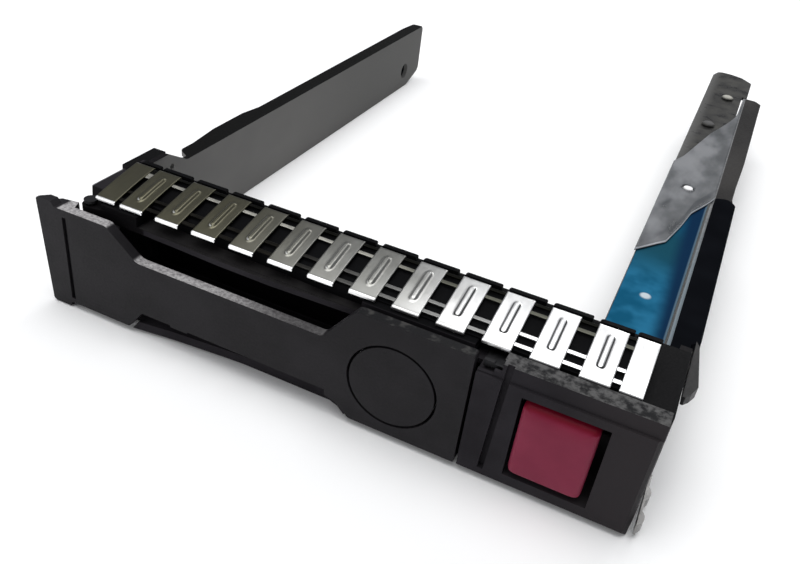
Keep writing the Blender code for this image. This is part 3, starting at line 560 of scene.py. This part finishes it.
def finger_places():
    """(left edge, width) of each finger: a narrow one at both ends and the full ones between."""
    full = [(FINGER_FIRST + FINGER_PITCH * k, FINGER_WIDTH) for k in range(FINGER_COUNT)]
    return [LEFT_END_FINGER, *full, RIGHT_END_FINGER]


def finger_top(y):
    return FINGER_LOW + FINGER_RISE * (y - FINGER_SLOPE_START)


def finger_profile(count=40):
    """(y, z) along a finger: up its front lip, up the slope and folded down at the back."""
    lip, fold = 0.24, 0.3
    start, end = FINGER_FRONT + lip, FINGER_BACK - fold
    low = FINGER_LOW + FINGER_LIFT - lip
    turns = [math.pi / 2 * k / 6 for k in range(1, 6)]
    points = [(FINGER_FRONT, 15.78), (FINGER_FRONT, 15.84), (FINGER_FRONT, low)]
    points += [(start - lip * math.cos(a), low + lip * math.sin(a)) for a in turns]
    for t in steps(0, 1, count):
        y = start + (end - start) * t
        points.append((y, finger_top(y) + FINGER_LIFT + FINGER_BOW * math.sin(math.pi * t)))
    high = points[-1][1]
    points += [(end + fold * math.sin(a), high - fold * (1 - math.cos(a))) for a in turns]
    return points + [(FINGER_BACK, high - 0.5), (FINGER_BACK, high - 0.8)]


def ground_fingers():
    """Fourteen bowed fingers; the full ones have a raised rib."""
    profile = finger_profile()
    for k, (left, width) in enumerate(finger_places()):
        ribbed = 1 <= k <= FINGER_COUNT
        middle = left + width / 2

        def place(u, v, middle=middle, ribbed=ribbed):
            y, z = profile[v]
            if ribbed:
                away = math.hypot(u - middle, y - min(max(y, RIB_FRONT), RIB_BACK))
                z += RIB_HEIGHT * (1 - smoothstep(0.2, 0.5, away))
            return (u, y, z)

        us = [left + width * t for t in (0.0, 0.04, 0.15, 0.27)]
        us += [middle + d for d in steps(-0.55, 0.55, 11)]
        us += [left + width * t for t in (0.73, 0.85, 0.96, 1.0)]
        bm = sheet_grid(us, range(len(profile)), place)
        thing = piece(f"ground_finger_{k + 1:02d}", bm, SPRING, "carrier", ("ground_spring_strip",))
        thicken(thing, 0.2)


def strip_base():
    """The cross bars that join the fingers, with windows between them, and a bridge at the left end."""
    tilt = Matrix.Rotation(math.atan(FINGER_RISE), 4, "X")
    bridge = (8.4, 9.5, STRIP_BARS[2][1], STRIP_BARS[3][0])
    thickness = 0.17
    bm = bmesh.new()
    for left, right, front, back in [(STRIP_LEFT, STRIP_RIGHT, *bar) for bar in STRIP_BARS] + [bridge]:
        middle = (front + back) / 2
        size = (right - left, back - front, thickness)
        centre = Vector(((left + right) / 2, middle, finger_top(middle) - thickness / 2 - 0.02))
        place = Matrix.Translation(centre) @ tilt @ Matrix.Diagonal((*size, 1.0))
        bmesh.ops.create_cube(bm, size=1.0, matrix=place)
    thing = piece("ground_strip_bars", bm, SPRING_BARS, "carrier", ("ground_spring_strip",), smooth=False)
    round_edges(thing, 0.05)


# ---- button ----
CAP_BACK = 4.4
CAP_SIDES = 96
TOP_SLOPE_DEPTH = 0.85
TOP_SLOPE = 0.95
TOP_SLOPE_END = 1.0  # the slope shapes only the cap's front
STEM = (66.3, 6.45, 7.8)
STEM_R = 1.2
STEM_LENGTH = 4.3


def button_cap():
    """A pillowed cap: rounded outline, crowned face, a soft front edge and a sloped top edge."""
    low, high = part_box("release_button")
    left, right = (low.x - START.x) / MM, (high.x - START.x) / MM
    bottom, top = low.z / MM, high.z / MM
    front = (low.y - START.y) / MM
    cx, cz = (left + right) / 2, (bottom + top) / 2
    half_x, half_z = (right - left) / 2, (top - bottom) / 2

    def ring(shrink, y, power):
        """A superellipse round the cap, drawn in by shrink; a higher power gives squarer corners."""
        points = []
        for k in range(CAP_SIDES):
            angle = 2 * math.pi * k / CAP_SIDES
            c, s = math.cos(angle), math.sin(angle)
            u = math.copysign(abs(c) ** (2 / power), c) * (half_x - shrink)
            v = math.copysign(abs(s) ** (2 / power), s) * (half_z - shrink)
            setback = max(0.0, v - (half_z - TOP_SLOPE_DEPTH)) * TOP_SLOPE if y < TOP_SLOPE_END else 0.0
            points.append((cx + u, y + setback, cz + v))
        return points

    edge = 0.62
    bend = front + 0.75
    rows = [(0.0, CAP_BACK, 14), (0.0, bend, 14)]
    rows += [(edge * (1 - math.cos(a)), bend - edge * math.sin(a), 14) for a in steps(0.15, 1.45, 7)]
    rows += [(0.9, front + 0.1, 13), (1.6, front + 0.05, 10), (2.6, front + 0.02, 7), (3.6, front, 4)]
    bm = bmesh.new()
    loops = [[bm.verts.new(point) for point in ring(*row)] for row in rows]
    for outer, inner in zip(loops, loops[1:]):
        join_rings(bm, outer, inner)
    centre = bm.verts.new((cx, front, cz))
    for a, b in zip(loops[-1], loops[-1][1:] + loops[-1][:1]):
        bm.faces.new((a, b, centre))
    bm.faces.new(loops[0])
    piece("release_button_cap", bm, BUTTON, "button_body", ("release_button",))


def button_stem():
    """Short pin behind the cap that carries the return spring."""
    bm = bmesh.new()
    place = Matrix.Translation(STEM) @ Matrix.Rotation(math.pi / 2, 4, "X")
    bmesh.ops.create_cone(bm, cap_ends=True, segments=32, radius1=STEM_R, radius2=STEM_R, depth=STEM_LENGTH,
                          matrix=place)
    piece("release_button_stem", bm, BUTTON, "button_body", ("release_button",), smooth=False)


# ---- films on the shelf ----
FILM_LIFT = 0.22
FILM_LEFT = 65.9
FILM_RIGHT = 73.9
FILM_FRONT = [(65.9, 38.2), (66.4, 38.9), (69.4, 43.1), (70.6, 49.0), (71.3, 54.1), (73.2, 59.2),
              (73.9, 61.5)]
FILM_REAR = [(65.9, 73.0), (67.1, 76.3), (69.9, 90.1), (72.5, 99.3), (73.3, 103.0), (73.9, 115.5)]

CIRCUIT_LEFT = 66.2
CIRCUIT_WIDTH = 7.08
CIRCUIT_FRONT = 16.4
CIRCUIT_REAR = [(66.3, 40.0), (69.0, 44.5), (70.2, 50.0), (71.0, 56.0), (73.3, 62.5)]


def edge_between(points, x):
    """y at x on a polyline of (x, y) points."""
    for (x0, y0), (x1, y1) in zip(points, points[1:]):
        if x <= x1:
            return y0 + (y1 - y0) * (x - x0) / (x1 - x0)
    return points[-1][1]


def crease(x, y, seed):
    """Ridged noise for the folds of thin film: 1 on the ridges, less between them."""
    value = noise.noise(Vector((x * 0.22 + seed, y * 0.09, seed)))
    fine = noise.noise(Vector((x * 0.5, y * 0.3 + seed, 3.1)))
    return (1 - abs(value) * 3.0) * 0.75 + (1 - abs(fine) * 3.0) * 0.25


def punch(bm, centre, radius):
    """A round hole in a flat grid: the nearest points move onto its rim, the faces inside go."""
    cx, cy = centre
    for vert in bm.verts:
        away = math.hypot(vert.co.x - cx, vert.co.y - cy)
        if 0.8 * radius < away < 1.22 * radius:
            vert.co.x = cx + (vert.co.x - cx) * radius / away
            vert.co.y = cy + (vert.co.y - cy) * radius / away
    inside = []
    for face in bm.faces:
        middle = face.calc_center_median()
        if math.hypot(middle.x - cx, middle.y - cy) < radius * 0.97:
            inside.append(face)
    bmesh.ops.delete(bm, geom=inside, context="FACES")


def blue_film():
    """Blue circuit: slanted rear end, an eyelet mark and slight waves."""
    def place(u, v):
        x = CIRCUIT_LEFT + CIRCUIT_WIDTH * u
        y = CIRCUIT_FRONT + (edge_between(CIRCUIT_REAR, x) - CIRCUIT_FRONT) * v
        wave = 0.04 * crease(x, y, 1.0)
        dome = 0.25 * math.exp(-(math.hypot(x - EYELET[0], y - EYELET[1]) / 0.9) ** 2)
        return (x, y, SHELF_TOP + 0.18 + wave + dome)

    bm = sheet_grid(steps(0, 1, 40), steps(0, 1, 160), place)
    thing = piece("blue_circuit_film", bm, BLUE, "carrier", ("flex_circuit",))
    thicken(thing, 0.1)


def film_height(x, y):
    """The film lies on the shelf, and on the circuit's end where it laps over that."""
    lap = 0.16 * (1 - smoothstep(2.0, 6.0, y - edge_between(FILM_FRONT, x)))
    pillow = 0.12 * math.exp(-(math.hypot(x - 68.3, (y - 56) / 2) / 0.9) ** 2)
    return SHELF_TOP + FILM_LIFT + lap + 0.09 * crease(x, y, 5.0) + pillow


def clear_film():
    """Clear film with slanted ends and a round hole."""
    def place(u, v):
        x = FILM_LEFT + (FILM_RIGHT - FILM_LEFT) * u
        front, rear = edge_between(FILM_FRONT, x), edge_between(FILM_REAR, x)
        y = front + (rear - front) * v
        return (x, y, film_height(x, y))

    bm = sheet_grid(steps(0, 1, 48), steps(0, 1, 240), place)
    punch(bm, FILM_HOLE, FILM_HOLE_R)
    thing = piece("clear_film_sheet", bm, FILM, "carrier", ("protective_film",))
    thicken(thing, 0.06)


def clear_film_edge():
    """The film's front edge is folded over and looks whitish."""
    def place(u, v):
        x = FILM_LEFT + (FILM_RIGHT - FILM_LEFT) * u
        y = edge_between(FILM_FRONT, x) + 0.55 * v
        return (x, y, film_height(x, y) + 0.10 * math.sin(math.pi * (0.15 + 0.7 * v)))

    bm = sheet_grid(steps(0, 1, 60), steps(0, 1, 5), place)
    thing = piece("clear_film_fold", bm, FILM_EDGE, "carrier", ("protective_film",))
    thicken(thing, 0.05, 1.0)


def pale_disc_under_hole():
    """Small pale disc under the hole in the clear film, which makes the hole look bright."""
    bm = bmesh.new()
    place = Matrix.Translation((*FILM_HOLE, SHELF_TOP + 0.16))
    bmesh.ops.create_cone(bm, cap_ends=True, segments=32, radius1=0.85, radius2=0.7, depth=0.3,
                          matrix=place)
    piece("pale_disc_under_hole", bm, PALE, "carrier", smooth=False)


def screw_collars():
    """Short dark collars drawn out behind the left rail's screw holes."""
    inner_end, outer_end = 2.15, 0.7
    bore, outside = 1.66, 2.1
    profile = [(inner_end, bore), (outer_end, bore), (outer_end, outside), (inner_end, outside)]
    turns = [(math.cos(a), math.sin(a)) for a in steps(0, 2 * math.pi, 32)[:-1]]
    for k, y in enumerate(SCREW_HOLES_Y):
        bm = bmesh.new()
        rings = []
        for x, radius in profile:
            places = [(x, y + radius * c, SCREW_HOLES_Z + radius * s) for c, s in turns]
            rings.append([bm.verts.new(place) for place in places])
        for first, second in zip(rings, rings[1:] + rings[:1]):
            join_rings(bm, first, second)
        piece(f"screw_collar_{k + 1}", bm, RUNNER, "carrier", smooth=False)


# ---- carried-over CAD pieces ----
def finish_cad_pieces():
    paint_node("bezel_frame", BEZEL, 0.12)
    paint_node("lever", LEVER, 0.12)
    paint_node("status_disc", LEVER, 0.1)
    paint_node("status_cover", BLACK, 0.08)
    paint_node("status_light_ring", LENS)
    paint_node("lever_pin", DARK_STEEL, 0.06)
    paint_node("lever_spring", PIN)
    paint_node("button_spring", PIN)
    paint_node("release_catch", DARK_STEEL, 0.08)
    paint_node("status_board", BOARD, 0.05)
    paint_node("status_led", LENS)
    paint_node("light_guide", LENS)
    paint_node("side_ground_spring", CHROME, 0.06)
    paint_node("cage_clip", BLACK, 0.1)
    paint_node("left_rail", RAIL, 0.1)
    paint_node("right_rail", RAIL, 0.1)
    paint_node("rail_runner", RUNNER, 0.1)
    paint_node("circuit_shelf", SHELF, 0.08)
    for name in ("contact_dimple_rear", "contact_dimple_front"):
        paint_node(name, SHELF)
    for side in ("left", "right"):
        for level in ("upper", "lower"):
            paint_node(f"rail_rivet_{side}_{level}", PIN, 0.06)


# ---- floor, lights and camera ----
CAMERA_PLACE = (70.848, -62.845, 66.664)
CAMERA_TURN = (55.80, -6.574, 25.013)
CAMERA_LENS = 36.53


def floor():
    """A wide pale surface just under the part."""
    bm = bmesh.new()
    bmesh.ops.create_grid(bm, x_segments=1, y_segments=1, size=6.0)
    mesh = bpy.data.meshes.new("floor")
    bm.to_mesh(mesh)
    bm.free()
    mat = bpy.data.materials.new("floor_white")
    mat.use_nodes = True
    shader = mat.node_tree.nodes["Principled BSDF"]
    shader.inputs["Base Color"].default_value = (0.98, 0.98, 0.98, 1.0)
    shader.inputs["Roughness"].default_value = 0.9
    shader.inputs["Specular IOR Level"].default_value = 0.1
    mesh.materials.append(mat)
    thing = bpy.data.objects.new("floor", mesh)
    thing.location = (0, 0, -0.0001)
    bpy.context.scene.collection.objects.link(thing)


def card(name, place, target, size, radiance):
    """A rectangular light that faces target; radiance sets how bright its surface looks."""
    light = bpy.data.lights.new(name, "AREA")
    light.shape = "RECTANGLE"
    light.size, light.size_y = size
    light.energy = radiance * math.pi * size[0] * size[1]
    thing = bpy.data.objects.new(name, light)
    thing.location = place
    thing.rotation_euler = (Vector(target) - Vector(place)).to_track_quat("-Z", "Y").to_euler()
    bpy.context.scene.collection.objects.link(thing)


def lighting():
    """An even pale surround, a large card overhead, one behind the part and a weak one in front."""
    world = bpy.data.worlds.new("studio")
    world.use_nodes = True
    background = world.node_tree.nodes["Background"]
    background.inputs["Color"].default_value = (0.86, 0.88, 0.92, 1.0)
    background.inputs["Strength"].default_value = 0.35
    bpy.context.scene.world = world
    card("top_card", (-0.05, -0.05, 0.75), (0, 0, 0), (0.7, 0.7), 3.2)
    card("back_card", (0.10, 0.50, 0.36), (0.02, -0.05, 0.016), (0.30, 0.26), 4.0)
    card("front_card", (-0.35, -0.55, 0.30), (0, -0.05, 0), (0.5, 0.4), 1.6)


def camera():
    data = bpy.data.cameras.new("camera")
    data.sensor_width = 36.0
    data.lens = CAMERA_LENS
    data.clip_start = 0.01
    data.clip_end = 20
    thing = bpy.data.objects.new("camera", data)
    thing.location = bench(*CAMERA_PLACE)
    thing.rotation_euler = Euler([math.radians(angle) for angle in CAMERA_TURN], "XYZ")
    bpy.context.scene.collection.objects.link(thing)
    bpy.context.scene.camera = thing


def colour_management():
    settings = bpy.context.scene.view_settings
    settings.view_transform = "Standard"
    settings.look = "None"


finish_cad_pieces()
ground_fingers()
strip_base()
button_cap()
button_stem()
blue_film()
clear_film()
clear_film_edge()
pale_disc_under_hole()
screw_collars()
floor()
lighting()
camera()
colour_management()
